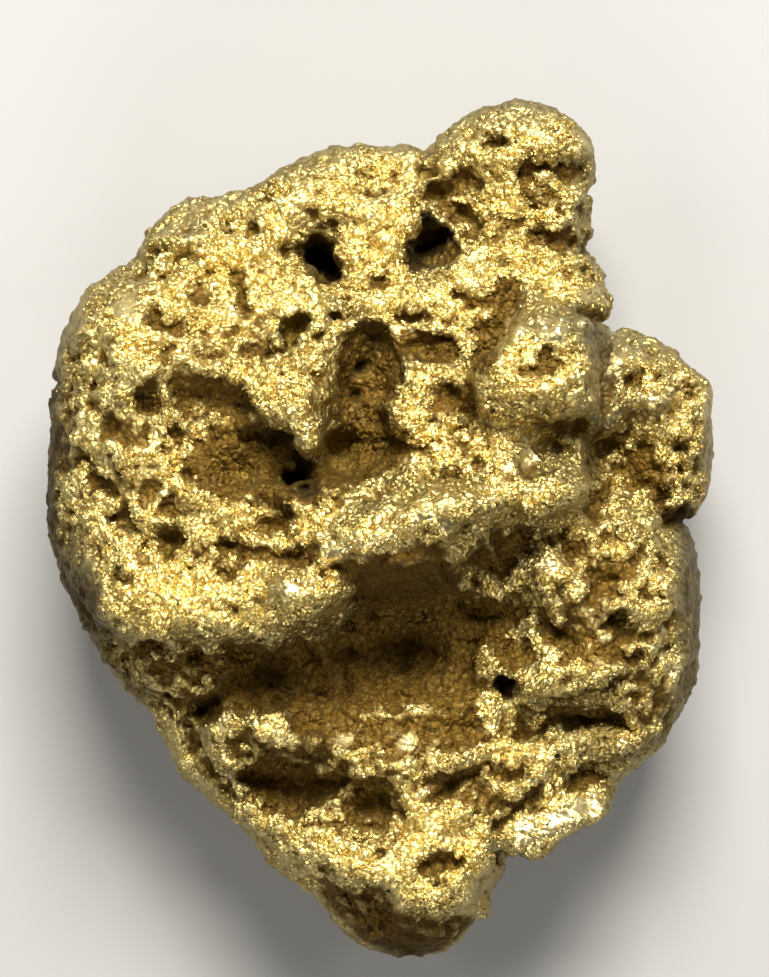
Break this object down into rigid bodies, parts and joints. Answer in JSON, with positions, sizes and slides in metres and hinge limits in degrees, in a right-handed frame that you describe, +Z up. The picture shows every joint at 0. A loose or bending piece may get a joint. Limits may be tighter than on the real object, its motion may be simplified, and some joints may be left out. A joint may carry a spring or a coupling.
{
  "type": "gold nugget",
  "caption": "Waterworn native gold nugget with a knob at its head, deep hollows and an overhanging ledge on its face.",
  "frame": {"origin": "on the resting plane, under the centre of the nugget's box", "axes": "+Z up out of the rugged face, +Y along the length to the knob, +X to the lobed side"},
  "size_m": [0.0466, 0.06, 0.0254],
  "materials": {
    "native_gold": "rough granular native gold, worn smooth on the crests, with brown iron stain in the hollows"
  },
  "bodies": {
    "root": {"nugget": "native_gold"}
  },
  "joints": []
}
